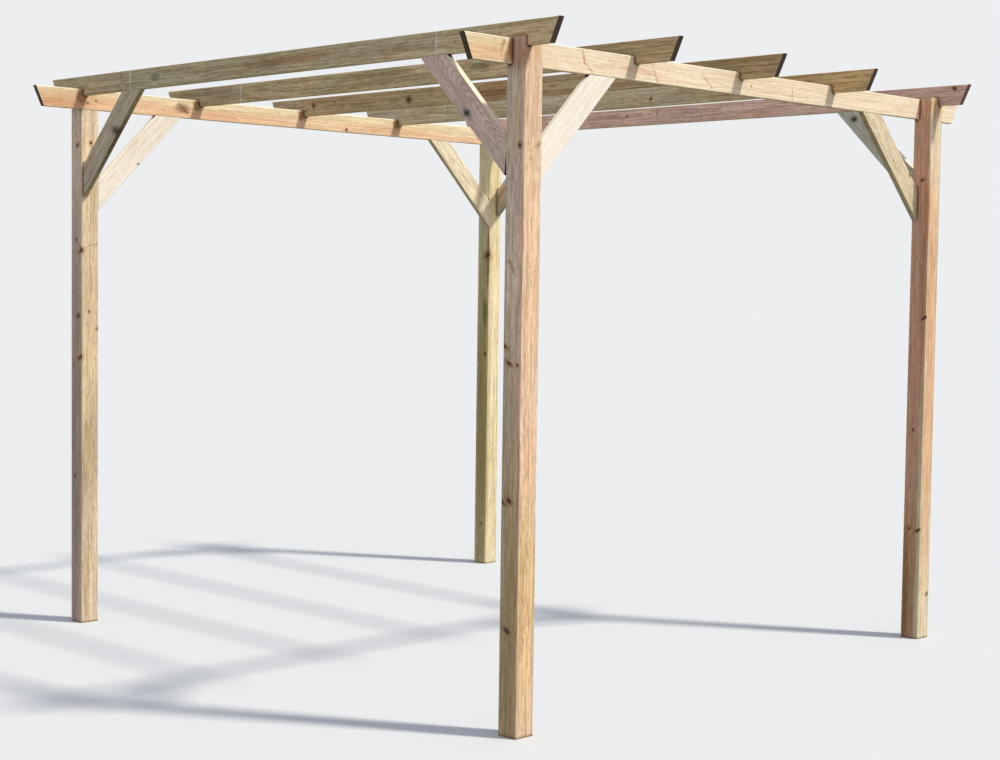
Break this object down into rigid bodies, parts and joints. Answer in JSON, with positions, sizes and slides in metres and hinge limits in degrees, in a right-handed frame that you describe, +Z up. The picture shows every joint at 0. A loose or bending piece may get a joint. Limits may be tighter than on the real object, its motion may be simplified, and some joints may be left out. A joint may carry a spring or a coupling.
{
  "type": "wooden garden pergola",
  "caption": "Open square timber pergola: posts with knee braces carry front and rear beams, and bevelled rafters sit in notches across them.",
  "frame": {"origin": "on the ground, under the middle of the frame's overall box", "axes": "+Z up; the two beams run along X and the rafters along Y; front is -Y and left is -X"},
  "size_m": [3.268, 3.3, 2.579],
  "materials": {
    "posts": "planed softwood, pressure treated",
    "beams": "planed softwood, pressure treated",
    "rafters": "planed softwood, pressure treated",
    "braces": "planed softwood, pressure treated"
  },
  "bodies": {
    "root": {"front_left_post": "posts", "front_left_beam_brace": "braces", "front_left_rafter_brace": "braces", "rear_left_post": "posts", "rear_left_beam_brace": "braces", "rear_left_rafter_brace": "braces", "front_right_post": "posts", "front_right_beam_brace": "braces", "front_right_rafter_brace": "braces", "rear_right_post": "posts", "rear_right_beam_brace": "braces", "rear_right_rafter_brace": "braces", "front_beam": "beams", "rear_beam": "beams", "rafter_1": "rafters", "rafter_2": "rafters", "rafter_3": "rafters", "rafter_4": "rafters", "rafter_5": "rafters"}
  },
  "joints": []
}
